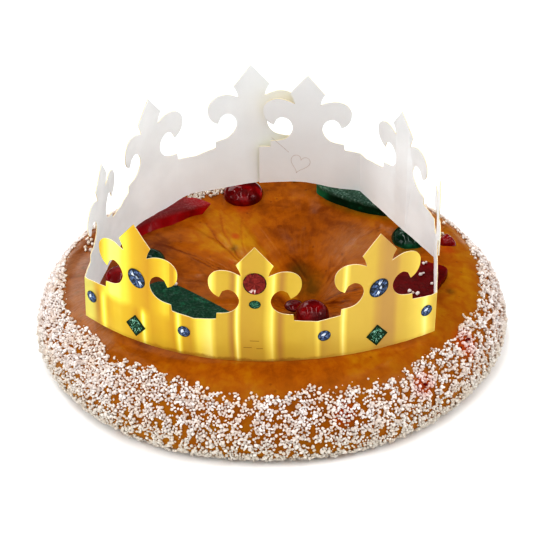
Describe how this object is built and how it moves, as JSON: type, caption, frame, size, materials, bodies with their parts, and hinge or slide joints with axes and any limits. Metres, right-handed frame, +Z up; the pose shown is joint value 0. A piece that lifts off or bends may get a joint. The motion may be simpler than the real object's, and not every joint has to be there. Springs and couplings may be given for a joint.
{
  "type": "brioche king cake",
  "caption": "Round brioche loaf with a puckered hollow, candied fruit and pearl sugar on its crust, wearing a gilded card crown with lily points.",
  "frame": {"origin": "middle of the loaf's flat base, at the bottom of the bounding box", "axes": "+Z up through the loaf, -Y towards the front of the crown, +X to the right seen from the front"},
  "size_m": [0.2712, 0.2584, 0.1354],
  "materials": {
    "crust": "egg-washed golden brown crust with a soft gloss",
    "sugar": "opaque white pearl sugar nibs",
    "gilt_card": "gold foil on the outside, pale grey card on the inside",
    "gem_print": "glossy printed stones in red, blue and green",
    "candied_red": "syrup-glossy red candied fruit",
    "candied_green": "syrup-glossy dark green candied fruit, frosted on the cut faces",
    "candied_crimson": "dark crimson candied fruit"
  },
  "bodies": {
    "root": {"brioche": "crust", "paper_crown": "gilt_card", "cherry_red_back": "candied_red", "cherry_red_front": "candied_red", "cherry_red_left": "candied_red", "cherry_green_left": "candied_green", "cherry_green_right": "candied_green", "chip_red_front": "candied_crimson", "chip_red_right": "candied_red", "slice_red_back": "candied_red", "slice_green_back": "candied_green", "slice_green_front": "candied_green", "slice_crimson": "candied_crimson"}
  },
  "joints": []
}
